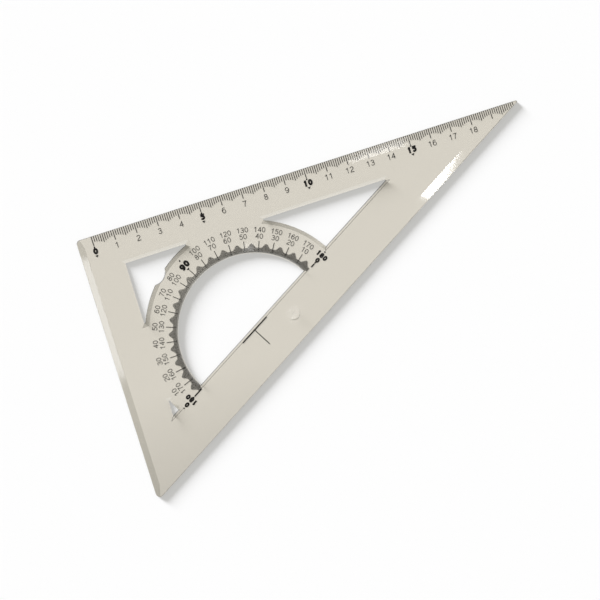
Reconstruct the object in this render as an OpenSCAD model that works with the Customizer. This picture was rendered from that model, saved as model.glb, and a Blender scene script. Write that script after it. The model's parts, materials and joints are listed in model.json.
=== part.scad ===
// Drawing triangle with a built-in protractor, one clear moulded plate with inlaid ink scales.
// Millimetres, +Z up, the printed face down. Origin under the middle of the bounding box.
// X runs along the ruled long leg towards the sharp tip, Y from the far corner to that leg.

/* [Outline] */
// Long leg, the ruled edge, from the square corner to the sharp tip
long_leg = 211.5; // [190:0.5:240]
// Angle at the sharp tip
tip_angle = 30; // [28:1:32]
// Thickness of the plate
plate_t = 2.2; // [1.5:0.1:4]
// Rounding of the sharp tip
tip_r = 0.5; // [0.2:0.1:1.5]
// Rounding of the square corner and the far corner
corner_r = 1.8; // [0.5:0.1:3]

/* [Outer bevels] */
// Width of the bevels along the ruled leg and the slanted side
bevel_w = 4.4; // [2:0.1:8]
// Share of the plate thickness that those bevels take off at the edge
bevel_share = 0.25; // [0.2:0.01:0.8]
// Width of the narrow bevel along the plain short leg
side_bevel_w = 2.8; // [0.5:0.1:4]
// Share of the plate thickness that the narrow bevel takes off
side_bevel_share = 0.5; // [0.2:0.01:0.8]

/* [Protractor] */
// Distance of the protractor's base line from the slanted side
base_inset = 19.4; // [14:0.2:26]
// Width of the ring that carries the degree scale
ring_w = 14.9; // [13:0.1:16]
// How far the ring runs into the bars along the two legs
ring_lap = 2.92; // [1:0.02:5]
// How far the slanted bar runs on past the protractor base line
base_lap = 1.3; // [0.5:0.1:2]
// Where the finger dip sits on the ring, in degrees round from the base line
dip_angle = 103; // [95:0.5:110]
// Radius of the finger dip
dip_r = 6; // [4:0.5:9]
// How deep the finger dip goes into the ring
dip_depth = 1.9; // [0.5:0.1:3]

/* [Windows] */
// Width of the bar along the ruled leg
bar_w = 16; // [12:0.5:20]
// How much wider the bar along the short leg is
side_extra = 2; // [0:0.1:4]
// Width of the bevel around the windows
window_bevel_w = 1.6; // [0.4:0.1:2]
// Width of that bevel where it runs along the base line
base_bevel_w = 0.9; // [0.4:0.1:1.2]
// Share of the plate thickness that the window bevel takes off
window_bevel_share = 0.55; // [0.2:0.01:0.8]
// Width left at the windows' narrow ends
window_end_w = 0.6; // [0.3:0.1:1.5]

/* [Sprue mark] */
// Distance of the sprue mark from the protractor centre, along the base line
sprue_x = 17.3; // [14:0.1:24]
// Distance of the sprue mark's centre from the base line
sprue_y = 8.3; // [7:0.1:10]
// Radius of the shallow sprue recess
sprue_r = 2.6; // [1.5:0.1:4]
// Depth of the sprue recess
sprue_depth = 0.3; // [0.1:0.05:0.6]
// Radius of the nib left in the recess
nib_r = 0.8; // [0.4:0.1:1.2]

/* [Ink] */
// Depth of the ink lines in the printed face
ink_t = 0.1; // [0.05:0.01:0.2]
// Clear strip between the plate's edge and the ink
print_margin = 0.2; // [0.1:0.05:0.5]
// Clear strip between a line's end and the marker beyond it
marker_gap = 0.14; // [0.1:0.02:0.4]

/* [Ruler scale] */
// Distance of the zero line from the square corner
zero_inset = 7; // [5:0.5:10]
// Distance from one millimetre line to the next
tick_pitch = 1; // [0.8:0.05:1.2]
// Stretch at the sharp tip that carries no lines
tip_blank = 3; // [2:0.5:8]
// Length of the shortest millimetre lines
tick_short = 2.7; // [1.5:0.1:3.5]
// Length of the half centimetre lines
tick_mid = 4.1; // [2.5:0.1:5]
// Length of the centimetre lines
tick_long = 4.6; // [3:0.1:6]
// Width of the millimetre lines
tick_w = 0.32; // [0.1:0.01:0.4]
// Width of the half centimetre and centimetre lines
tick_bold_w = 0.34; // [0.1:0.01:0.5]
// Radius of the round markers
dot_r = 0.36; // [0.2:0.02:0.6]
// Distance of the pointed markers' flat side from the ruled edge
pointer_inset = 8.7; // [8:0.1:10]
// Width of the pointed markers
pointer_w = 1.5; // [0.8:0.1:2.5]
// Height of the pointed markers
pointer_h = 1; // [0.5:0.1:2]

/* [Degree scale] */
// Clear strip between the ring's inner edge and the degree lines
degree_start = 0.9; // [0.2:0.05:1.5]
// Length of the shortest degree lines
degree_short = 1.6; // [1:0.1:2.5]
// Length of the five degree lines
degree_long = 3.5; // [2.5:0.1:5]
// Degrees from a five degree line to where the lines are short again
swell_reach = 3.5; // [2:0.1:5]
// Length of the ten degree lines
ten_len = 4.7; // [4:0.1:7]
// Width of the half degree lines
half_degree_w = 0.17; // [0.08:0.01:0.2]
// Width of the degree lines
degree_w = 0.21; // [0.1:0.01:0.25]
// Width of the ten degree lines
ten_w = 0.3; // [0.1:0.01:0.35]

/* [Base line] */
// Length of the bold line to each side of the centre
base_half_len = 8; // [5:0.5:12]
// Width of the bold line
base_w = 0.6; // [0.3:0.05:1.2]
// Length of the line that stands on the base line
stem_len = 9.4; // [6:0.2:12]
// Width of that line
stem_w = 0.4; // [0.3:0.05:0.8]
// Where the end line of the base starts, measured from the window
end_line_start = 3.5; // [2:0.1:4.5]
// Width of the end lines of the base
end_line_w = 0.6; // [0.3:0.05:1]
// Distance of the outer round markers of the base from the window
outer_dot = 12.7; // [11:0.1:13.5]
// Distance of the upright angle's round marker from the window
upright_dot = 11.7; // [10:0.1:13]

/* [Hidden] */
tens = 10;
fives = 5;
half_turn = 180;
short_leg = long_leg * tan(tip_angle);
tip_in = tip_r / tan(tip_angle / 2);
far_in = corner_r / tan(half_turn / 4 - tip_angle / 2);
tip_cut = tip_in - tip_r;
far_cut = far_in - corner_r;
centre_in = ((long_leg - side_extra) * sin(tip_angle) - base_inset) / (sin(tip_angle) + cos(tip_angle));
bar_gap = centre_in - bar_w;
ring_r = bar_gap + ring_lap;
window_r = ring_r - ring_w;
bevel_drop = plate_t * bevel_share;
side_drop = plate_t * side_bevel_share;
window_drop = plate_t * window_bevel_share;
over = plate_t;
end_x = sqrt(pow(ring_r, 2) - pow(bar_gap - window_end_w, 2));
chord_out = base_inset + base_lap;
degree_r = window_r + degree_start;
ten_r = degree_r + ten_len;
tip_back = window_end_w / (2 * tan(tip_angle / 2));
tip_x = (bar_gap * cos(tip_angle) - base_lap) / sin(tip_angle) - tip_back / cos(tip_angle / 2);
last_tick = floor((long_leg - zero_inset - tip_blank) / tick_pitch);
$fn = 180;

clear_tint = [0.84, 0.82, 0.77, 0.6];
ink_black = [0.05, 0.05, 0.05];

// Frames: the drawing frame has its zero in the square corner, with the plate at +X and -Y.
module drawing() {
  translate([(tip_cut - long_leg) / 2, (short_leg - far_cut) / 2, 0])
    children();
}

// Along the slanted side: X from the sharp tip, Y outwards.
module slant() {
  translate([long_leg, 0, 0])
    rotate([0, 0, half_turn + tip_angle])
      children();
}

// Along the short leg: X towards the square corner, Y outwards.
module side() {
  translate([0, -short_leg, 0])
    rotate([0, 0, half_turn / 2])
      children();
}

// Zero in the protractor centre, X still along the ruled leg.
module centre() {
  translate([centre_in + side_extra, -centre_in, 0])
    children();
}

// Protractor frame: zero in the protractor centre, X along the base line to its zero degree end.
module protractor() {
  centre()
    rotate([0, 0, tip_angle])
      children();
}

// A prism of the YZ outline given, drawn out along X.
module run(length, outline) {
  rotate([half_turn / 2, 0, half_turn / 2])
    linear_extrude(length)
      polygon(outline);
}

// Plate without openings.
module corner_post(x, y, r) {
  translate([x, y, 0])
    cylinder(h = plate_t, r = r);
}

module blank() {
  union() {
    linear_extrude(plate_t)
      polygon([[corner_r, 0],
               [long_leg - tip_in, 0],
               [long_leg - tip_in, -tip_r],
               [long_leg - tip_in * cos(tip_angle), -tip_in * sin(tip_angle)],
               [far_in * cos(tip_angle), far_in * sin(tip_angle) - short_leg],
               [corner_r, far_in - short_leg],
               [0, far_in - short_leg],
               [0, -corner_r],
               [corner_r, -corner_r]]);
    corner_post(corner_r, -corner_r, corner_r);
    corner_post(long_leg - tip_in, -tip_r, tip_r);
    corner_post(corner_r, far_in - short_leg, corner_r);
  }
}

// What a bevel of the given width and drop takes off an edge that runs along X.
module bevel_cut(length, width, drop) {
  translate([-over, 0, 0])
    run(length + 2 * over,
        [[-width, plate_t],
         [over, plate_t - drop - over * drop / width],
         [over, plate_t + over],
         [-width, plate_t + over]]);
}

// The room inside one straight window side, flared by a bevel of the width given.
module side_room(length, inset, flare) {
  lean = flare / window_drop;
  run(length,
      [[-inset, -over],
       [-inset, plate_t - window_drop],
       [-inset + flare + over * lean, plate_t + over],
       [-long_leg, plate_t + over],
       [-long_leg, -over]]);
}

// The ring's body, its outer edge bevelled to the same width.
module ring_body() {
  lean = window_bevel_w / window_drop;
  rotate_extrude()
    polygon([[0, -2 * over],
             [ring_r, -2 * over],
             [ring_r, plate_t - window_drop],
             [ring_r - window_bevel_w - 2 * over * lean, plate_t + 2 * over],
             [0, plate_t + 2 * over]]);
}

// A block that closes a window's narrow end. Its walls lean back as the window bevel does.
module end_block(half_w, depth) {
  lean = window_bevel_w / window_drop;
  rotate([half_turn / 2, 0, half_turn])
    linear_extrude(depth)
      polygon([[-half_w, -2 * over],
               [half_w, -2 * over],
               [half_w, plate_t - window_drop],
               [half_w - window_bevel_w - 2 * over * lean, plate_t + 2 * over],
               [-half_w + window_bevel_w + 2 * over * lean, plate_t + 2 * over],
               [-half_w, plate_t - window_drop]]);
}

// The three windows around the ring, in the drawing frame.
module windows() {
  difference() {
    intersection() {
      side_room(long_leg, bar_w, window_bevel_w);
      side()
        side_room(short_leg, bar_w + side_extra, window_bevel_w);
      slant()
        side_room(long_leg / cos(tip_angle), chord_out, base_bevel_w);
    }
    centre() {
      ring_body();
      end_block(end_x, bar_gap + window_bevel_w + over);
      rotate([0, 0, half_turn / 2])
        end_block(end_x, bar_gap + window_bevel_w + over);
      translate([tip_x, bar_gap, 0])
        rotate([0, 0, tip_angle / 2])
          translate([bar_w / 2, -bar_gap / 2, 0])
            end_block(bar_w / 2, bar_gap);
    }
  }
}

// The half-round window inside the ring.
module half_round_window() {
  intersection() {
    centre()
      translate([0, 0, -over])
        cylinder(h = plate_t + 2 * over, r = window_r);
    slant()
      side_room(long_leg / cos(tip_angle), chord_out, base_bevel_w);
  }
}

module finger_dip() {
  protractor()
    rotate([0, 0, dip_angle])
      translate([ring_r + dip_r - dip_depth, 0, -over])
        cylinder(h = plate_t + 2 * over, r = dip_r);
}

module sprue_mark() {
  protractor()
    translate([sprue_x, -sprue_y, plate_t - sprue_depth])
      difference() {
        cylinder(h = sprue_depth + over, r = sprue_r);
        translate([0, 0, -over])
          cylinder(h = sprue_depth + over, r = nib_r);
      }
}

// Ink outlines, drawn flat.
function tip_room(x) = (long_leg - x) * tan(tip_angle) - 2 * print_margin;
function hump(i) = pow((fives - abs(fives - i % tens)) / fives, 2);
function millimetre_len(i) = tick_short + (tick_mid - tick_short) * hump(i);
function line_len(i) = i % tens == 0 ? tick_long : millimetre_len(i);
function five_gap(i) = min(abs(fives - i % tens), swell_reach);
function swell(i) = pow(cos(half_turn / 2 * five_gap(i) / swell_reach), 2);
function degree_len(i) = degree_short + (degree_long - degree_short) * swell(i);

module ruler_line(i, w) {
  x = zero_inset + i * tick_pitch;
  len = min(line_len(i), tip_room(x + w / 2));
  translate([x - w / 2, -len])
    square([w, len - print_margin]);
}

module radial_line(angle, start_r, end_r, w) {
  rotate([0, 0, angle])
    translate([start_r, -w / 2])
      square([end_r - start_r, w]);
}

module pointer(w, h) {
  polygon([[-w / 2, 0],
           [w / 2, 0],
           [0, -h]]);
}

module millimetre_outline() {
  for (i = [0 : last_tick])
    if (i % fives != 0)
      ruler_line(i, tick_w);
}

module half_centimetre_outline() {
  for (i = [fives : tens : last_tick])
    ruler_line(i, tick_bold_w);
}

module centimetre_outline() {
  for (i = [0 : tens : last_tick])
    ruler_line(i, tick_bold_w);
}

module ruler_marker_outline() {
  for (i = [0 : fives * tens : last_tick]) {
    x = zero_inset + i * tick_pitch;
    if (tip_room(x + pointer_w) > pointer_inset + pointer_h) {
      translate([x, -tick_long - marker_gap - dot_r])
        circle(r = dot_r);
      translate([x, -pointer_inset])
        pointer(pointer_w, pointer_h);
    }
  }
}

module half_degree_outline() {
  for (i = [0 : half_turn - 1])
    radial_line(i + 1 / 2, degree_r, degree_r + degree_len(i + 1 / 2), half_degree_w);
}

module degree_outline() {
  for (i = [1 : half_turn - 1])
    if (i % tens != 0)
      radial_line(i, degree_r, degree_r + degree_len(i), degree_w);
}

module ten_degree_outline() {
  for (i = [tens : tens : half_turn - tens])
    radial_line(i, degree_r, ten_r, ten_w);
}

module base_outline() {
  translate([-base_half_len, -base_w / 2])
    square([2 * base_half_len, base_w]);
  translate([-stem_w / 2, -stem_len])
    square([stem_w, stem_len]);
  radial_line(0, window_r + end_line_start, ten_r, end_line_w);
  radial_line(half_turn, degree_r, ten_r, end_line_w);
}

module angle_marker_outline() {
  translate([ten_r + marker_gap + dot_r, 0])
    circle(r = dot_r);
  translate([window_r + outer_dot, 0])
    circle(r = dot_r);
  translate([-window_r - outer_dot, 0])
    circle(r = dot_r);
  translate([0, window_r + upright_dot])
    circle(r = dot_r);
  for (angle = [0, half_turn / 2])
    rotate([0, 0, angle])
      translate([0, ten_r + marker_gap + pointer_h])
        pointer(pointer_w, pointer_h);
}

// An outline inlaid in the printed face, and the same cut reaching below it.
module inlay(low) {
  drawing()
    translate([0, 0, -low])
      linear_extrude(ink_t + low)
        children();
}

module degree_inlay(low) {
  drawing()
    protractor()
      translate([0, 0, -low])
        linear_extrude(ink_t + low)
          children();
}

module grooves() {
  inlay(over) {
    millimetre_outline();
    half_centimetre_outline();
    centimetre_outline();
    ruler_marker_outline();
  }
  degree_inlay(over) {
    half_degree_outline();
    degree_outline();
    ten_degree_outline();
    base_outline();
    angle_marker_outline();
  }
}

// The clear moulded plate.
module plate() {
  color(clear_tint)
    difference() {
      drawing()
        difference() {
          blank();
          bevel_cut(long_leg, bevel_w, bevel_drop);
          slant()
            bevel_cut(long_leg / cos(tip_angle), bevel_w, bevel_drop);
          side()
            bevel_cut(short_leg, side_bevel_w, side_drop);
          windows();
          half_round_window();
          finger_dip();
          sprue_mark();
        }
      grooves();
    }
}

module millimetre_lines() {
  color(ink_black)
    inlay(0)
      millimetre_outline();
}

module half_centimetre_lines() {
  color(ink_black)
    inlay(0)
      half_centimetre_outline();
}

module centimetre_lines() {
  color(ink_black)
    inlay(0)
      centimetre_outline();
}

module ruler_markers() {
  color(ink_black)
    inlay(0)
      ruler_marker_outline();
}

module half_degree_lines() {
  color(ink_black)
    degree_inlay(0)
      half_degree_outline();
}

module degree_lines() {
  color(ink_black)
    degree_inlay(0)
      degree_outline();
}

module ten_degree_lines() {
  color(ink_black)
    degree_inlay(0)
      ten_degree_outline();
}

module base_line() {
  color(ink_black)
    degree_inlay(0)
      base_outline();
}

module angle_markers() {
  color(ink_black)
    degree_inlay(0)
      angle_marker_outline();
}

plate();
millimetre_lines();
half_centimetre_lines();
centimetre_lines();
ruler_markers();
half_degree_lines();
degree_lines();
ten_degree_lines();
base_line();
angle_markers();
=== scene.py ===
"""Clear drawing triangle with a built-in protractor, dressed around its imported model.

The moulded plate is one clear polystyrene piece with softened edges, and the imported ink
lines stay as they are under a printing ink. The figures of both scales are drawn here,
stroke by stroke, and set where the real plate is printed.
"""

import json
import logging
import math
from collections.abc import Callable
from dataclasses import dataclass
from enum import Enum

import bmesh
import bpy
from mathutils import Matrix, Vector

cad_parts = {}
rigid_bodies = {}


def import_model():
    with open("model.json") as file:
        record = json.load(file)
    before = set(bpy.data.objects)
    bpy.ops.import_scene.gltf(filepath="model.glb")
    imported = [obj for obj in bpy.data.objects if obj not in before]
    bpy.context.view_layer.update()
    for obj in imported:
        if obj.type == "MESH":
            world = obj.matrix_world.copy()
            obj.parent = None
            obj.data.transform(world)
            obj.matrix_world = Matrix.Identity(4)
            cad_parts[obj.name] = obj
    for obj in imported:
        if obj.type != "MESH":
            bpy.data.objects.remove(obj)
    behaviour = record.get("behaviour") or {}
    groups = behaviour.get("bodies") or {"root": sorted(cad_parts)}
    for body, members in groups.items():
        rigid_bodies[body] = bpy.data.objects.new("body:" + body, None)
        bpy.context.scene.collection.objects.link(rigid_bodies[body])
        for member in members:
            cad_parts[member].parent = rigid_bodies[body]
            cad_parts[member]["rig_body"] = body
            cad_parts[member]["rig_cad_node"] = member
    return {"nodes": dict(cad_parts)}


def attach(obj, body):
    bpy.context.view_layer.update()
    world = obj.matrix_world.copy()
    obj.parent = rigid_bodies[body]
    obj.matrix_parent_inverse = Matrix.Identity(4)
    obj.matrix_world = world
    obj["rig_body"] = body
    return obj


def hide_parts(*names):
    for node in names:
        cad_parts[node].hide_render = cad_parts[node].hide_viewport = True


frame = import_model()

LOG = logging.getLogger("drawing_triangle")
MM = 0.001
BODY = "root"
RIGHT_ANGLE = 90
HALF_TURN = 180
WELD_MM = 0.002

Point = tuple[float, float]
Colour = tuple[float, float, float, float]

# Places in the plate's own frame, in millimetres.
SQUARE_CORNER: Point = (-105.067, 60.396)
PROTRACTOR_CENTRE: Point = (-40.5865, -2.0845)


# Small tools

def srgb(code: str) -> Colour:
    """Turn a colour written as sRGB hex into the linear colour that shaders take.

    Args:
        code: Six hex digits, such as "D8D4C8".

    Returns:
        Linear red, green, blue and an alpha of 1.
    """
    channels = [int(code[i:i + 2], 16) / 255 for i in (0, 2, 4)]
    linear = [c / 12.92 if c <= 0.04045 else ((c + 0.055) / 1.055) ** 2.4 for c in channels]
    return (linear[0], linear[1], linear[2], 1.0)


def add_node(
    tree: bpy.types.NodeTree,
    kind: str,
    settings: dict[str, object] | None = None,
    sockets: dict[str | int, object] | None = None,
) -> bpy.types.Node:
    """Add a node, with its settings, its plain socket values and its links.

    Args:
        tree: The node tree that takes the node.
        kind: The node's type, such as "ShaderNodeTexNoise".
        settings: Properties of the node by name.
        sockets: Inputs by name or number. An output socket is linked, and any other value is set.

    Returns:
        The new node.
    """
    node = tree.nodes.new(kind)
    for name, value in (settings or {}).items():
        setattr(node, name, value)
    for name, value in (sockets or {}).items():
        if isinstance(value, bpy.types.NodeSocket):
            tree.links.new(value, node.inputs[name])
        else:
            node.inputs[name].default_value = value
    return node


def new_material(name: str) -> tuple[bpy.types.Material, bpy.types.NodeTree]:
    """Make a material whose node tree is still empty.

    Args:
        name: The material's name.

    Returns:
        The material and its node tree.
    """
    material = bpy.data.materials.new(name)
    material.use_nodes = True
    material.node_tree.nodes.clear()
    return material, material.node_tree


def show(tree: bpy.types.NodeTree, surface: bpy.types.NodeSocket) -> None:
    """Link a shader to the tree's material output."""
    add_node(tree, "ShaderNodeOutputMaterial", sockets={"Surface": surface})


def dress(piece: bpy.types.Object, material: bpy.types.Material) -> None:
    """Put one material on all of a piece."""
    piece.data.materials.clear()
    piece.data.materials.append(material)


def deselect() -> None:
    """Leave nothing selected, so that the next operator acts on its own piece alone."""
    bpy.ops.object.select_all(action="DESELECT")


def take(piece: bpy.types.Object) -> None:
    """Select one piece alone and make it the active one."""
    deselect()
    piece.select_set(True)
    bpy.context.view_layer.objects.active = piece


def finish_shape(piece: bpy.types.Object) -> None:
    """Weld a piece's doubles and turn all its faces outwards."""
    take(piece)
    bpy.ops.object.mode_set(mode="EDIT")
    bpy.ops.mesh.select_all(action="SELECT")
    bpy.ops.mesh.remove_doubles(threshold=WELD_MM * MM)
    bpy.ops.mesh.normals_make_consistent(inside=False)
    bpy.ops.object.mode_set(mode="OBJECT")


def join(pieces: list[bpy.types.Object], name: str) -> bpy.types.Object:
    """Join pieces into one, with its place in its mesh.

    Args:
        pieces: The pieces, which become one.
        name: The name of the result.

    Returns:
        The joined piece, at the origin.
    """
    deselect()
    for piece in pieces:
        piece.select_set(True)
    bpy.context.view_layer.objects.active = pieces[0]
    if len(pieces) > 1:
        bpy.ops.object.join()
    bpy.ops.object.transform_apply(location=True, rotation=True, scale=True)
    pieces[0].name = pieces[0].data.name = name
    return pieces[0]


# Finishes

@dataclass(frozen=True)
class ClearPolystyrene:
    """Crystal polystyrene, injection moulded in a polished tool.

    It gives the eye a warm grey tint over white paper, bright lines along its edges, which
    are partly glints of the lamps and partly painted light, and a faint unevenness of the
    shine where the melt flowed and the sheet has been handled.
    Light that comes in through the top goes on to the paper, but hardly any of it leaves
    through a wall that isn't turned to the window: such walls cast the soft shadow. The
    colour holds painted shade and painted light, set by how far each face leans to the
    window: painted shade draws dark lines along softened folds and makes upright walls
    nearly black, and faces that lean the other way get a paler tint as painted light.
    Towards the far corner the plate is darkened a little, as painted shade.

    A lean is the share of a face's normal that points level towards an azimuth.

    Attributes:
        light_azimuth: Where the window is, in degrees.
        leaning: The plate's tint and the painted shade by the face's lean to leaning_azimuth,
            lowest lean first, which make dark lines at softened folds and nearly black walls.
        leaning_azimuth: The side, near the window's, from which the painted shade and light
            are reckoned, in degrees.
        bright: Painted light: the tint of a face that leans the other way.
        bright_from: Lean at which the painted light starts.
        bright_full: Lean at which the tint is all painted light.
        passing: Share of the light that a face lets by to the paper.
        held_back: The same share for a wall turned from the window.
        wall_weight: How much steepness counts in telling such a wall.
        wall_limit: How far the face has to be turned away to be one.
        ior: Index of refraction of polystyrene.
        polish: Roughness of the clean surface.
        worn: Roughness of the handled surface.
        smear_from: Value of the smears' noise where wear starts.
        smear_full: Value of the smears' noise where wear is full.
        shade: Painted shade: what the tint is multiplied by at the far corner.
        shade_from_mm: Y at which that painted shade starts.
        shade_to_mm: Y at which that painted shade is full.
        flow_mm: Size of the waves that the melt's flow left.
        flow_depth_mm: Their depth.
        smear_mm: Size of the smears.
    """

    light_azimuth: float
    # The plate's tint with painted shade by lean: dark lines at softened folds, nearly black
    # walls.
    leaning: tuple[tuple[float, str], ...] = (
        (0.02, "F2EEE6"), (0.08, "C1BEB5"), (0.10, "C1BEB5"), (0.115, "F2EEE6"),
        (0.18, "E6E2D8"), (0.28, "B4B1A9"), (0.60, "AAA79F"), (0.75, "343330"),
    )
    leaning_azimuth: float = 105.0
    # Painted light: faces that lean away from the window get this paler tint.
    bright: str = "FFFEFA"
    bright_from: float = -0.15
    bright_full: float = -0.45
    passing: str = "F4F3F0"
    held_back: str = "B5B5B3"
    wall_weight: float = 0.3
    wall_limit: float = 0.05
    ior: float = 1.59
    polish: float = 0.03
    worn: float = 0.06
    smear_from: float = 0.45
    smear_full: float = 0.75
    # Painted shade: the plate is darkened towards the far corner.
    shade: str = "E8E8E8"
    shade_from_mm: float = -15.0
    shade_to_mm: float = -62.0
    flow_mm: float = 22.0
    flow_depth_mm: float = 0.004
    smear_mm: float = 9.0

    @staticmethod
    def lean(
        tree: bpy.types.NodeTree, normal: bpy.types.NodeSocket, azimuth: float
    ) -> bpy.types.NodeSocket:
        """Reckon how far a face leans to one side.

        Args:
            tree: The material's node tree.
            normal: The face's normal.
            azimuth: The side, in degrees.

        Returns:
            The lean, from -1 to 1.
        """
        turned = math.radians(azimuth)
        side = (math.cos(turned), math.sin(turned), 0.0)
        return add_node(
            tree, "ShaderNodeVectorMath", {"operation": "DOT_PRODUCT"}, {0: normal, 1: side}
        ).outputs["Value"]

    def tint(
        self, tree: bpy.types.NodeTree, place: bpy.types.NodeSocket, normal: bpy.types.NodeSocket
    ) -> bpy.types.NodeSocket:
        """Tint the plastic with painted shade and painted light by each face's lean, and with
        painted shade towards the far corner.

        Args:
            tree: The material's node tree.
            place: The place on the object.
            normal: The face's normal.

        Returns:
            The colour.
        """
        lean = self.lean(tree, normal, self.leaning_azimuth)
        # Painted shade by lean, over the plate's own tint.
        tint_with_painted_shade = add_node(tree, "ShaderNodeValToRGB", None, {"Fac": lean})
        stops = tint_with_painted_shade.color_ramp.elements
        stops.remove(stops[1])
        stops[0].position = self.leaning[0][0]
        stops[0].color = srgb(self.leaning[0][1])
        for position, code in self.leaning[1:]:
            stops.new(position).color = srgb(code)
        # Painted light on faces that lean away from the window.
        painted_light_share = add_node(
            tree, "ShaderNodeMapRange", None,
            {"Value": lean, "From Min": self.bright_from, "From Max": self.bright_full},
        )
        painted_shade_and_light = add_node(
            tree, "ShaderNodeMix", {"data_type": "RGBA"},
            {"Factor": painted_light_share.outputs["Result"], "A": tint_with_painted_shade.outputs["Color"],
             "B": srgb(self.bright)},
        )
        # Painted shade: darker towards the far corner.
        along = add_node(tree, "ShaderNodeSeparateXYZ", None, {"Vector": place})
        painted_shade_share = add_node(
            tree, "ShaderNodeMapRange", None,
            {"Value": along.outputs["Y"], "From Min": self.shade_from_mm * MM,
             "From Max": self.shade_to_mm * MM},
        )
        return add_node(
            tree, "ShaderNodeMix", {"data_type": "RGBA", "blend_type": "MULTIPLY"},
            {"Factor": painted_shade_share.outputs["Result"], "A": painted_shade_and_light.outputs["Result"],
             "B": srgb(self.shade)},
        ).outputs["Result"]

    def film(self, tree: bpy.types.NodeTree, surface: bpy.types.Node) -> bpy.types.NodeSocket:
        """Let the window's light by, less of it through walls turned from the window.

        Args:
            tree: The material's node tree.
            surface: The node that tells the face's normal and side.

        Returns:
            The shader that light on its way to the paper meets.
        """
        normal = surface.outputs["Normal"]
        away = self.lean(tree, normal, self.light_azimuth + HALF_TURN)
        across = add_node(
            tree, "ShaderNodeVectorMath", {"operation": "CROSS_PRODUCT"},
            {0: normal, 1: (0.0, 0.0, 1.0)},
        )
        steep = add_node(
            tree, "ShaderNodeVectorMath", {"operation": "LENGTH"}, {0: across.outputs["Vector"]}
        )
        wall = add_node(
            tree, "ShaderNodeMath", {"operation": "MULTIPLY_ADD"},
            {0: steep.outputs["Value"], 1: self.wall_weight, 2: away},
        )
        averted = add_node(
            tree, "ShaderNodeMath", {"operation": "GREATER_THAN"},
            {0: wall.outputs[0], 1: self.wall_limit},
        )
        from_outside = add_node(
            tree, "ShaderNodeMath", {"operation": "GREATER_THAN"},
            {0: averted.outputs[0], 1: surface.outputs["Backfacing"]},
        )
        share = add_node(
            tree, "ShaderNodeMix", {"data_type": "RGBA"},
            {"Factor": from_outside.outputs[0], "A": srgb(self.passing),
             "B": srgb(self.held_back)},
        )
        return add_node(
            tree, "ShaderNodeBsdfTransparent", None, {"Color": share.outputs["Result"]}
        ).outputs[0]

    def make(self) -> bpy.types.Material:
        """Build the material.

        Returns:
            The clear plastic.
        """
        material, tree = new_material("clear_polystyrene_polished")
        place = add_node(tree, "ShaderNodeTexCoord").outputs["Object"]
        surface = add_node(tree, "ShaderNodeNewGeometry")
        flow = add_node(
            tree, "ShaderNodeTexNoise", {"noise_dimensions": "3D"},
            {"Vector": place, "Scale": 1 / (self.flow_mm * MM), "Detail": 1.0},
        )
        waves = add_node(
            tree, "ShaderNodeBump", None,
            {"Height": flow.outputs["Fac"], "Distance": self.flow_depth_mm * MM,
             "Strength": 1.0},
        )
        smears = add_node(
            tree, "ShaderNodeTexNoise", {"noise_dimensions": "3D"},
            {"Vector": place, "Scale": 1 / (self.smear_mm * MM), "Detail": 6.0},
        )
        wear = add_node(
            tree, "ShaderNodeMapRange", None,
            {"Value": smears.outputs["Fac"], "From Min": self.smear_from,
             "From Max": self.smear_full, "To Min": self.polish, "To Max": self.worn},
        )
        clear = add_node(
            tree, "ShaderNodeBsdfPrincipled", None,
            {"Base Color": self.tint(tree, place, surface.outputs["Normal"]), "IOR": self.ior,
             "Transmission Weight": 1.0, "Roughness": wear.outputs["Result"],
             "Normal": waves.outputs["Normal"]},
        )
        ray = add_node(tree, "ShaderNodeLightPath")
        lighting = add_node(
            tree, "ShaderNodeMath", {"operation": "MAXIMUM"},
            {0: ray.outputs["Is Shadow Ray"], 1: ray.outputs["Is Diffuse Ray"]},
        )
        both = add_node(
            tree, "ShaderNodeMixShader", None,
            {0: lighting.outputs[0], 1: clear.outputs[0], 2: self.film(tree, surface)},
        )
        show(tree, both.outputs[0])
        return material


@dataclass(frozen=True)
class ScaleInk:
    """Black ink rubbed into fine moulded grooves, and left to dry matt.

    It gives the eye a deep black with no mirror, slightly greyer where the film is thin.
    The grain of the real film is finer than the picture shows, so it is drawn coarser.
    The ink lies against the plastic, so its IOR is the small step between the two. It also
    lies close to the paper, so its film holds back only part of the slanting light there.
    """

    deep: str = "0B0A09"
    thin: str = "1D1B18"
    roughness: float = 0.6
    ior_step: float = 1.06
    grain_mm: float = 0.35
    light_let_by: str = "EAEAEA"

    def make(self) -> bpy.types.Material:
        """Build the material.

        Returns:
            The black ink.
        """
        material, tree = new_material("scale_ink_matt_black")
        place = add_node(tree, "ShaderNodeTexCoord")
        grain = add_node(
            tree, "ShaderNodeTexNoise", {"noise_dimensions": "3D"},
            {"Vector": place.outputs["Object"], "Scale": 1 / (self.grain_mm * MM), "Detail": 3.0},
        )
        film = add_node(
            tree, "ShaderNodeMix", {"data_type": "RGBA"},
            {"Factor": grain.outputs["Fac"], "A": srgb(self.deep), "B": srgb(self.thin)},
        )
        ink = add_node(
            tree, "ShaderNodeBsdfPrincipled", None,
            {"Base Color": film.outputs["Result"], "Roughness": self.roughness,
             "IOR": self.ior_step},
        )
        thin = add_node(
            tree, "ShaderNodeBsdfTransparent", None, {"Color": srgb(self.light_let_by)}
        )
        ray = add_node(tree, "ShaderNodeLightPath")
        both = add_node(
            tree, "ShaderNodeMixShader", None,
            {0: ray.outputs["Is Shadow Ray"], 1: ink.outputs[0], 2: thin.outputs[0]},
        )
        show(tree, both.outputs[0])
        return material


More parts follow.
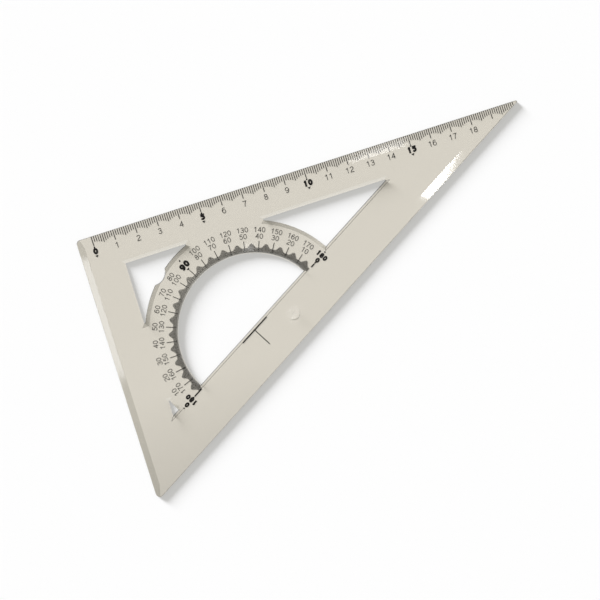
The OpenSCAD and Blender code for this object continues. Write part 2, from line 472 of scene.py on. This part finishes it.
@dataclass(frozen=True)
class WhitePaper:
    """Smooth white drawing paper, dead matt, which shows the plate's soft shadow."""

    white: str = "FEFEFE"

    def make(self) -> bpy.types.Material:
        """Build the material.

        Returns:
            The paper.
        """
        material, tree = new_material("drawing_paper_white")
        sheet = add_node(tree, "ShaderNodeBsdfDiffuse", None, {"Color": srgb(self.white)})
        show(tree, sheet.outputs[0])
        return material


# Figures

@dataclass(frozen=True)
class Line:
    """A straight move of the pen to a point, in shares of the figure's height."""

    x: float
    y: float

    def corners(self) -> list[Point]:
        """The points that the pen passes."""
        return [(self.x, self.y)]


@dataclass(frozen=True)
class Arc:
    """A curved move along part of an oval, in shares of the figure's height.

    The angles are in degrees, and a last angle below the first turns clockwise.
    """

    x: float
    y: float
    across: float
    up: float
    first: float
    last: float
    step: float = 15.0

    def corners(self) -> list[Point]:
        """The points that the pen passes."""
        count = max(2, round(abs(self.last - self.first) / self.step))
        turns = [self.first + (self.last - self.first) * i / count for i in range(count + 1)]
        return [
            (self.x + self.across * math.cos(turn), self.y + self.up * math.sin(turn))
            for turn in map(math.radians, turns)
        ]


Stroke = tuple[Line | Arc, ...]

# Plain sans figures as a draughtsman letters them: the pen's path, one unit high.
FIGURES: dict[str, tuple[Stroke, ...]] = {
    "0": (
        (Arc(0.26, 0.50, 0.24, 0.50, 90, 450),),
    ),
    "1": (
        (Line(0.30, 1.00), Line(0.30, 0.00)),
        (Line(0.06, 0.77), Line(0.20, 0.84), Line(0.30, 0.96)),
    ),
    "2": (
        (Arc(0.26, 0.74, 0.23, 0.26, 172, -28), Arc(0.42, -0.02, 0.39, 0.42, 120, 174),
         Line(0.02, 0.00), Line(0.50, 0.00)),
    ),
    "3": (
        (Arc(0.25, 0.755, 0.205, 0.245, 165, -90),),
        (Arc(0.25, 0.26, 0.24, 0.26, 90, -165),),
        (Line(0.17, 0.515), Line(0.27, 0.515)),
    ),
    "4": (
        (Line(0.39, 0.00), Line(0.39, 1.00)),
        (Line(0.39, 0.98), Line(0.02, 0.30), Line(0.53, 0.30)),
    ),
    "5": (
        (Line(0.46, 1.00), Line(0.12, 1.00), Line(0.065, 0.52)),
        (Arc(0.25, 0.33, 0.24, 0.33, 138, -158),),
    ),
    "6": (
        (Arc(0.26, 0.32, 0.24, 0.32, 90, 450),),
        (Arc(0.29, 0.50, 0.27, 0.50, 50, 180), Line(0.02, 0.34)),
    ),
    "7": (
        (Line(0.02, 1.00), Line(0.50, 1.00), Line(0.36, 0.74), Line(0.25, 0.42),
         Line(0.19, 0.00)),
    ),
    "8": (
        (Arc(0.26, 0.76, 0.20, 0.24, 90, 450),),
        (Arc(0.26, 0.26, 0.24, 0.26, 90, 450),),
    ),
    "9": (
        (Arc(0.26, 0.68, 0.24, 0.32, 90, 450),),
        (Arc(0.23, 0.50, 0.27, 0.50, 230, 360), Line(0.50, 0.66)),
    ),
}


class Weight(Enum):
    """How heavy a figure is drawn: the stroke's width as a share of the figure's height."""

    LIGHT = 0.105
    BOLD = 0.31


@dataclass(frozen=True)
class Label:
    """One number on a scale: what it says, where its middle is, and how it is turned."""

    text: str
    middle: Point
    turn: float
    height: float
    weight: Weight


class Lettering:
    """Draws each figure once with a pen, then sets copies of it as numbers.

    Attributes:
        low: Height of the ink's underside above the plate's underside, in millimetres.
        thick: Thickness of the ink, in millimetres.
        advance_share: Distance from one figure to the next, as a share of the height.
        body_share: Width of a figure's path, as a share of the path's height.
        stretch: How much wider than drawn the figures are set.
        same_place: Distance under which two corners are one, in millimetres.
        end_band: How near the top or the foot an end is there, as a share of the height.
    """

    low: float = 0.01
    thick: float = 0.06
    advance_share: float = 0.80
    body_share: float = 0.52
    stretch: float = 1.30
    same_place: float = 0.01
    end_band: float = 0.03

    def __init__(self) -> None:
        """Start with no figure drawn."""
        self.masters: dict[tuple[str, Weight, float], bpy.types.Object] = {}

    def path(self, stroke: Stroke, height: float, pen_width: float) -> bpy.types.Object:
        """Draw one stroke's path as a chain of edges, extruded corner by corner.

        An open end at the figure's top or foot goes on by half the pen's width, so that a
        straight stroke stands as tall as a curved one.

        Args:
            stroke: The pen's moves.
            height: Height of the path, in millimetres.
            pen_width: Width of the stroke, in millimetres.

        Returns:
            The chain, a mesh of edges.
        """
        corners = [
            Vector((x * self.stretch, y, 0)) * height * MM
            for move in stroke for x, y in move.corners()
        ]
        if (corners[0] - corners[-1]).length > self.same_place * MM:
            for end, inner in ((0, 1), (-1, -2)):
                if not self.end_band < corners[end].y / (height * MM) < 1 - self.end_band:
                    onward = (corners[end] - corners[inner]).normalized()
                    corners[end] += onward * pen_width / 2 * MM
        bpy.ops.mesh.primitive_plane_add(size=height * MM, location=(0, 0, 0))
        chain = bpy.context.object
        bpy.ops.object.mode_set(mode="EDIT")
        bpy.ops.mesh.select_mode(type="VERT")
        bpy.ops.mesh.merge(type="CENTER")
        bpy.ops.transform.translate(value=corners[0])
        for before, after in zip(corners, corners[1:]):
            bpy.ops.mesh.extrude_vertices_move(TRANSFORM_OT_translate={"value": after - before})
        bpy.ops.mesh.select_all(action="SELECT")
        bpy.ops.mesh.remove_doubles(threshold=self.same_place * MM)
        bpy.ops.mesh.extrude_edges_move(
            TRANSFORM_OT_translate={"value": (0, 0, self.thick * MM)}
        )
        bpy.ops.object.mode_set(mode="OBJECT")
        return chain

    def master(self, sign: str, weight: Weight, height: float) -> bpy.types.Object:
        """Give the drawn figure that copies are made from.

        Args:
            sign: The figure, "0" to "9".
            weight: How heavy it is drawn.
            height: Its height, in millimetres.

        Returns:
            The figure as a closed mesh, hidden from the picture.
        """
        key = (sign, weight, height)
        if key not in self.masters:
            strokes = []
            for stroke in FIGURES[sign]:
                chain = self.path(stroke, height * (1 - weight.value), height * weight.value)
                wall = chain.modifiers.new("pen_width", "SOLIDIFY")
                wall.thickness = weight.value * height * MM
                wall.offset = 0
                wall.use_even_offset = True
                take(chain)
                bpy.ops.object.modifier_apply(modifier=wall.name)
                strokes.append(chain)
            name = f"master_{sign}_{weight.name.lower()}_{height}"
            figure = join(strokes, name)
            finish_shape(figure)
            self.masters[key] = figure
        return self.masters[key]

    def number(self, label: Label) -> list[bpy.types.Object]:
        """Set the figures of one number side by side.

        Args:
            label: What it says, and where.

        Returns:
            One copy for each figure, in place.
        """
        advance = self.advance_share * label.height
        inked = label.height * (1 - label.weight.value)
        start = -advance * (len(label.text) - 1) / 2 - self.body_share * self.stretch * inked / 2
        turn = Matrix.Rotation(math.radians(label.turn), 4, "Z")
        middle = Matrix.Translation(Vector((*label.middle, self.low)) * MM)
        copies = []
        for i, sign in enumerate(label.text):
            drawn = self.master(sign, label.weight, label.height)
            copy = drawn.copy()
            copy.data = drawn.data.copy()
            bpy.context.scene.collection.objects.link(copy)
            shift = Matrix.Translation(Vector((start + i * advance, -inked / 2, 0)) * MM)
            copy.matrix_world = middle @ turn @ shift
            copies.append(copy)
        return copies

    def scale(self, labels: list[Label], name: str) -> bpy.types.Object:
        """Set all the numbers of one scale as one piece.

        Args:
            labels: The numbers.
            name: The piece's name.

        Returns:
            The piece.
        """
        copies = [copy for label in labels for copy in self.number(label)]
        return join(copies, name)

    def clear_away(self) -> None:
        """Remove the figures that the copies were made from."""
        for figure in self.masters.values():
            bpy.data.objects.remove(figure)
        self.masters.clear()


@dataclass
class RulerFigures:
    """The centimetre numbers along the ruled leg, every fifth one bold.

    Sizes are in millimetres.
    """

    square_corner: Point
    zero_inset: float = 7.05
    pitch: float = 10.0
    last: int = 18
    row_inset: float = 7.0
    bold_rise: float = 0.2
    light_height: float = 2.6
    bold_height: float = 2.9

    def labels(self, weight: Weight) -> list[Label]:
        """The numbers of one weight.

        Args:
            weight: Bold for every fifth centimetre, and light for the rest.

        Returns:
            The labels.
        """
        bold = weight is Weight.BOLD
        height = self.bold_height if bold else self.light_height
        numbers = [n for n in range(self.last + 1) if (n % 5 == 0) == bold]
        x, y = self.square_corner
        y += self.bold_rise * bold - self.row_inset
        return [
            Label(str(n), (x + self.zero_inset + n * self.pitch, y), 0, height, weight)
            for n in numbers
        ]

    def build(self, pen: Lettering) -> list[bpy.types.Object]:
        """Draw the numbers.

        Args:
            pen: What draws the figures.

        Returns:
            The light row and the bold row.
        """
        return [
            pen.scale(self.labels(Weight.LIGHT), "ruler_figures"),
            pen.scale(self.labels(Weight.BOLD), "ruler_bold_figures"),
        ]


@dataclass
class DegreeFigures:
    """The two rows of degree numbers on the ring, with their tops outwards.

    Sizes are in millimetres, and angles in degrees from the base line's end near the tip.
    """

    centre: Point
    base_turn: float = 30.0
    outer_r: float = 45.15
    inner_r: float = 42.2
    upright_r: float = 43.25
    light_height: float = 2.3
    bold_height: float = 2.5
    upright_height: float = 3.15

    def label(
        self, text: str, angle: float, radius: float, height: float, weight: Weight
    ) -> Label:
        """One number at an angle and a radius, top outwards.

        Args:
            text: What it says.
            angle: Its place round the ring.
            radius: Its middle's distance from the protractor centre.
            height: Its height.
            weight: How heavy it is drawn.

        Returns:
            The label.
        """
        turn = math.radians(self.base_turn + angle)
        x, y = self.centre
        middle = (x + radius * math.cos(turn), y + radius * math.sin(turn))
        return Label(text, middle, self.base_turn + angle - RIGHT_ANGLE, height, weight)

    def build(self, pen: Lettering) -> list[bpy.types.Object]:
        """Draw the numbers.

        Args:
            pen: What draws the figures.

        Returns:
            The outer row, the inner row and the bold numbers.
        """
        tens = [a for a in range(10, HALF_TURN, 10) if a != RIGHT_ANGLE]
        outer = [
            self.label(str(HALF_TURN - a), a, self.outer_r, self.light_height, Weight.LIGHT)
            for a in tens
        ]
        inner = [
            self.label(str(a), a, self.inner_r, self.light_height, Weight.LIGHT) for a in tens
        ]
        ends = (
            ("90", RIGHT_ANGLE, self.upright_r, self.upright_height),
            ("180", 0, self.outer_r, self.bold_height),
            ("0", 0, self.inner_r, self.bold_height),
            ("0", HALF_TURN, self.outer_r, self.bold_height),
            ("180", HALF_TURN, self.inner_r, self.bold_height),
        )
        bold = [self.label(*end, Weight.BOLD) for end in ends]
        return [
            pen.scale(outer, "degree_figures_outer"),
            pen.scale(inner, "degree_figures_inner"),
            pen.scale(bold, "degree_bold_figures"),
        ]


# The plate

@dataclass
class Moulding:
    """The clear plate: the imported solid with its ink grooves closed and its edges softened.

    Sizes are in millimetres and angles in degrees.

    Attributes:
        centre: The protractor's centre.
        base_turn: Turn of its base line from the ruled leg.
        thick: Thickness of the plate.
        groove_depth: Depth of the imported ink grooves.
        ring_r: Radius of the half-round window.
        chamfer_foot: Height at which the ring's inside chamfer starts.
        ledge_start: Distance from the base line at which the ledge starts.
        ledge_end: Distance from the base line at which it ends, at the window.
        ledge_height: Height of the ledge.
        low_share: Share of the thickness under which nothing is moved.
        slack: How far from its stated place a corner may be and still be picked.
        band: How far above and below its height the ledge's corners are looked for.
        row_gap: How far above the ledge the corners of the plate's upper edge start.
        clear_of_base: Least distance from the base line of what is taken for the ring's
            wall, and the most that it may stand outside the wall's radius.
        edge_r: Rounding of the moulded edges.
        edge_steps: Facets of that rounding.
        edge_angle: Least fold that is rounded.
        smooth_angle: Greatest fold that is shaded as a curve.
        flat_angle: Greatest fold that is taken out as flat.
        weld: Distance under which two corners are one.
        groove_slack: What is added to the grooves' depth to find their faces.
    """

    centre: Point
    base_turn: float = 30.0
    thick: float = 2.2
    groove_depth: float = 0.1
    ring_r: float = 34.52
    chamfer_foot: float = 1.3
    ledge_start: float = 0.44
    ledge_end: float = 1.3
    ledge_height: float = 1.9
    low_share: float = 0.3
    slack: float = 0.02
    band: float = 0.05
    row_gap: float = 0.06
    clear_of_base: float = 0.2
    edge_r: float = 0.12
    edge_steps: int = 2
    edge_angle: float = 12.0
    smooth_angle: float = 6.5
    flat_angle: float = 0.2
    weld: float = 0.001
    groove_slack: float = 0.01

    def off_base(self, place: Vector) -> float:
        """Distance of a place from the protractor's base line, in millimetres."""
        turn = math.radians(self.base_turn)
        return Vector((-math.sin(turn), math.cos(turn))).dot(place.xy / MM - Vector(self.centre))

    def off_centre(self, place: Vector) -> float:
        """Distance of a place from the protractor's centre, in millimetres."""
        return (place.xy / MM - Vector(self.centre)).length

    @staticmethod
    def pick(plate: bpy.types.Object, wanted: Callable[[Vector], bool]) -> None:
        """Select the corners whose places are wanted, and the edges and faces they bound.

        Args:
            plate: The plate, in edit mode.
            wanted: Tells whether a place is wanted.
        """
        bpy.ops.mesh.select_mode(type="VERT")
        bpy.ops.mesh.select_all(action="DESELECT")
        form = bmesh.from_edit_mesh(plate.data)
        for corner in form.verts:
            corner.select = wanted(corner.co)
        form.select_flush(True)
        bmesh.update_edit_mesh(plate.data)

    def widen(self, plate: bpy.types.Object, low: float, high: float) -> None:
        """Push the ring's inner wall outwards as far as the chamfer goes between two heights.

        Args:
            plate: The plate, in edit mode.
            low: The lower height.
            high: The upper height.
        """
        out = (low + high) / 2 - self.chamfer_foot
        share = 1 + out / self.ring_r
        self.pick(plate, lambda p: low < p.z / MM < high
                  and self.off_centre(p) < self.ring_r + self.clear_of_base
                  and self.off_base(p) > self.clear_of_base)
        bpy.ops.transform.resize(
            value=(share, share, 1), center_override=Vector((*self.centre, 0)) * MM
        )

    def cut_ledge(self, plate: bpy.types.Object) -> None:
        """Lay the base's window edge down to a shallow ledge.

        Args:
            plate: The plate, in edit mode.
        """
        self.pick(plate, lambda p: p.z > self.thick * self.low_share * MM
                  and self.ledge_start < self.off_base(p) < self.ledge_end + self.slack)
        bpy.ops.transform.resize(
            value=(1, 1, 0), center_override=(0, 0, self.ledge_height * MM)
        )

    def chamfer_ring(self, plate: bpy.types.Object) -> None:
        """Chamfer the ring's inside edge, row by row of its corners.

        Args:
            plate: The plate, in edit mode.
        """
        self.pick(plate, lambda p: abs(self.off_centre(p) - self.ring_r) < self.slack
                  and self.off_base(p) > self.clear_of_base)
        bpy.ops.mesh.bisect(plane_co=(0, 0, self.chamfer_foot * MM), plane_no=(0, 0, 1))
        self.widen(plate, self.ledge_height - self.band, self.ledge_height + self.band)
        self.widen(
            plate, self.ledge_height + self.row_gap, 2 * self.thick - self.ledge_height
        )

    def close_grooves(self, plate: bpy.types.Object) -> None:
        """Take the ink grooves out of the printed face, and close it with one flat face.

        Args:
            plate: The plate, in edit mode.
        """
        bpy.ops.mesh.select_all(action="SELECT")
        bpy.ops.mesh.remove_doubles(threshold=self.weld * MM)
        bpy.ops.mesh.customdata_custom_splitnormals_clear()
        bpy.ops.mesh.select_all(action="DESELECT")
        bpy.ops.mesh.select_mode(type="FACE")
        form = bmesh.from_edit_mesh(plate.data)
        top = (self.groove_depth + self.groove_slack) * MM
        for face in form.faces:
            face.select = max(corner.co.z for corner in face.verts) < top
        bmesh.update_edit_mesh(plate.data)
        bpy.ops.mesh.delete(type="FACE")
        bpy.ops.mesh.select_mode(type="EDGE")
        bpy.ops.mesh.select_all(action="DESELECT")
        bpy.ops.mesh.select_non_manifold()
        bpy.ops.mesh.fill()
        bpy.ops.mesh.select_all(action="SELECT")
        bpy.ops.mesh.dissolve_limited(angle_limit=math.radians(self.flat_angle))
        bpy.ops.mesh.select_all(action="SELECT")
        bpy.ops.mesh.normals_make_consistent(inside=False)

    def round_edges(self, plate: bpy.types.Object) -> None:
        """Round the plate's folds.

        Args:
            plate: The plate, in object mode.
        """
        soft = plate.modifiers.new("moulded_edges", "BEVEL")
        soft.width = self.edge_r * MM
        soft.segments = self.edge_steps
        soft.limit_method = "ANGLE"
        soft.angle_limit = math.radians(self.edge_angle)
        soft.use_clamp_overlap = False
        bpy.ops.object.modifier_apply(modifier=soft.name)

    def shade(self, plate: bpy.types.Object) -> None:
        """Shade the roundings as curves and the flats as flats.

        Args:
            plate: The plate, in object mode.
        """
        bpy.ops.object.shade_smooth_by_angle(angle=math.radians(self.smooth_angle))
        even = plate.modifiers.new("flats_stay_flat", "WEIGHTED_NORMAL")
        even.keep_sharp = True
        bpy.ops.object.modifier_apply(modifier=even.name)

    def build(self, solid: bpy.types.Object) -> bpy.types.Object:
        """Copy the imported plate, close its printed face and soften its edges.

        Args:
            solid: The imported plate.

        Returns:
            The moulding.
        """
        plate = solid.copy()
        plate.data = solid.data.copy()
        plate.name = plate.data.name = "plate_moulding"
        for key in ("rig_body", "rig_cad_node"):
            if key in plate:
                del plate[key]
        plate.parent = None
        bpy.context.scene.collection.objects.link(plate)
        take(plate)
        bpy.ops.object.mode_set(mode="EDIT")
        self.close_grooves(plate)
        bpy.ops.object.mode_set(mode="OBJECT")
        self.round_edges(plate)
        bpy.ops.object.mode_set(mode="EDIT")
        self.cut_ledge(plate)
        self.chamfer_ring(plate)
        bpy.ops.object.mode_set(mode="OBJECT")
        self.shade(plate)
        return plate


# The room

@dataclass
class Paper:
    """The sheet under the plate, far larger than the picture. Sizes are in millimetres."""

    gap: float = 0.03
    side: float = 6000.0

    def build(self) -> bpy.types.Object:
        """Lay the paper.

        Returns:
            The sheet.
        """
        bpy.ops.mesh.primitive_plane_add(size=self.side * MM, location=(0, 0, -self.gap * MM))
        sheet = bpy.context.object
        bpy.ops.object.transform_apply(location=True)
        sheet.name = "paper"
        dress(sheet, WhitePaper().make())
        return sheet


@dataclass(frozen=True)
class Viewpoint:
    """Where the photographer stood. Millimetres and degrees, in the plate's own frame."""

    place: tuple[float, float, float] = (-194.574, 163.448, 1099.379)
    turn: tuple[float, float, float] = (-5.0956, -11.1527, -17.0912)
    lens: float = 150.0
    sensor: float = 36.0

    def build(self) -> bpy.types.Object:
        """Set up the camera.

        Returns:
            The camera.
        """
        bpy.ops.object.camera_add(
            location=Vector(self.place) * MM,
            rotation=[math.radians(a) for a in self.turn],
        )
        camera = bpy.context.object
        camera.data.lens = self.lens
        camera.data.sensor_width = self.sensor
        camera.data.clip_start = 10 * MM
        camera.data.clip_end = 20.0
        bpy.context.scene.camera = camera
        return camera


@dataclass(frozen=True)
class Glint:
    """A small bright window whose mirror image shows on one sloping face of the plate.

    Sizes are in millimetres.

    Attributes:
        name: The lamp's name.
        spot: Where on the plate the mirror image shows.
        facing: The normal of the face there.
        along: Direction in which the window is long.
        length: Length of the window.
        width: Its width.
        radiance: How bright it is, as a multiple of white paper.
        distance: How far off it hangs.
    """

    name: str
    spot: tuple[float, float, float]
    facing: tuple[float, float, float]
    along: tuple[float, float, float]
    length: float
    width: float
    radiance: float
    distance: float = 1500.0

    def build(self, eye: Vector) -> bpy.types.Object:
        """Hang the window where the eye sees it mirrored at the spot.

        Args:
            eye: The camera's place, in metres.

        Returns:
            The lamp.
        """
        spot = Vector(self.spot) * MM
        normal = Vector(self.facing).normalized()
        view = (eye - spot).normalized()
        out = 2 * normal.dot(view) * normal - view
        bpy.ops.object.light_add(type="AREA", location=spot + out * self.distance * MM)
        lamp = bpy.context.object
        lamp.name = self.name
        side = Vector(self.along) - Vector(self.along).dot(out) * out
        side.normalize()
        up = out.cross(side)
        lamp.rotation_euler = Matrix((side, up, out)).transposed().to_euler()
        lamp.data.shape = "RECTANGLE"
        lamp.data.size = self.length * MM
        lamp.data.size_y = self.width * MM
        lamp.data.energy = self.radiance * math.pi * self.length * self.width * MM * MM
        lamp.visible_diffuse = False
        lamp.visible_transmission = False
        return lamp


GLINTS = (
    Glint(
        "pane_slanted_side", (59.2, 40.2, 2.2), (0.062, -0.107, 0.992), (0.615, 0.788, 0),
        length=57, width=28, radiance=15,
    ),
    Glint(
        "pane_ruled_leg", (36.5, 56.9, 2.08), (0, 0.124, 0.992), (1, 0.03, 0),
        length=60, width=8, radiance=5,
    ),
    Glint(
        "pane_short_leg", (-103.7, 24.0, 1.65), (-0.365, 0, 0.931), (0, 1, 0),
        length=130, width=60, radiance=5,
    ),
    Glint(
        "pane_sprue_mark", (-21.45, -0.62, 2.2), (0, 0, 1), (1, 0, 0),
        length=7, width=6, radiance=7,
    ),
    Glint(
        "pane_ring", (-32.4, 33.2, 2.2), (0, 0, 1), (0.23, 0.97, 0),
        length=11, width=9, radiance=3,
    ),
)


@dataclass
class Studio:
    """Soft daylight from the upper left, and an even pale room.

    Angles are in degrees.

    Attributes:
        key_share: Share of the paper's light that comes from the window.
        room_share: Share that comes from the room. The two add up to about the paper's white.
        elevation: Height of the window.
        azimuth: Side of the window.
        spread: How wide the window is.
    """

    key_share: float = 0.76
    room_share: float = 0.24
    elevation: float = 16.3
    azimuth: float = 123.0
    spread: float = 19.0

    def room(self) -> None:
        """Light all sides evenly."""
        world = bpy.data.worlds.new("pale_room")
        world.use_nodes = True
        tree = world.node_tree
        tree.nodes.clear()
        pale = add_node(
            tree, "ShaderNodeBackground", None,
            {"Color": srgb("FFFFFF"), "Strength": self.room_share},
        )
        add_node(tree, "ShaderNodeOutputWorld", None, {"Surface": pale.outputs[0]})
        bpy.context.scene.world = world

    def key(self) -> bpy.types.Object:
        """Hang the soft daylight.

        Returns:
            The lamp.
        """
        low, side = math.radians(self.elevation), math.radians(self.azimuth)
        level = math.cos(low)
        source = Vector((level * math.cos(side), level * math.sin(side), math.sin(low)))
        bpy.ops.object.light_add(type="SUN", location=source)
        lamp = bpy.context.object
        lamp.name = "daylight"
        lamp.rotation_euler = source.to_track_quat("Z", "Y").to_euler()
        lamp.data.energy = self.key_share * math.pi / math.sin(low)
        lamp.data.angle = math.radians(self.spread)
        lamp.visible_glossy = False
        lamp.visible_transmission = False
        return lamp


def main() -> None:
    """Build and dress the pieces in order, and report each one."""
    logging.basicConfig(level=logging.INFO, format="%(name)s: %(message)s")
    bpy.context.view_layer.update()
    scene = bpy.context.scene
    scene.view_settings.view_transform = "Standard"
    nodes = frame["nodes"]

    eye = Viewpoint().build()
    studio = Studio()
    studio.room()
    studio.key()
    Paper().build()
    for glint in GLINTS:
        glint.build(eye.location)
    LOG.info("camera, light and paper are set")

    clear = ClearPolystyrene(studio.azimuth).make()
    plate = Moulding(PROTRACTOR_CENTRE).build(nodes["plate"])
    dress(plate, clear)
    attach(plate, BODY)
    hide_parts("plate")
    LOG.info("%s has %d faces", plate.name, len(plate.data.polygons))

    ink = ScaleInk().make()
    for name in sorted(set(nodes) - {"plate"}):
        dress(nodes[name], ink)
    LOG.info("ink lines dressed")

    pen = Lettering()
    rows = RulerFigures(SQUARE_CORNER).build(pen)
    rows += DegreeFigures(PROTRACTOR_CENTRE).build(pen)
    pen.clear_away()
    for row in rows:
        dress(row, ink)
        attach(row, BODY)
        LOG.info("%s has %d faces", row.name, len(row.data.polygons))


if __name__ == "__main__":
    main()
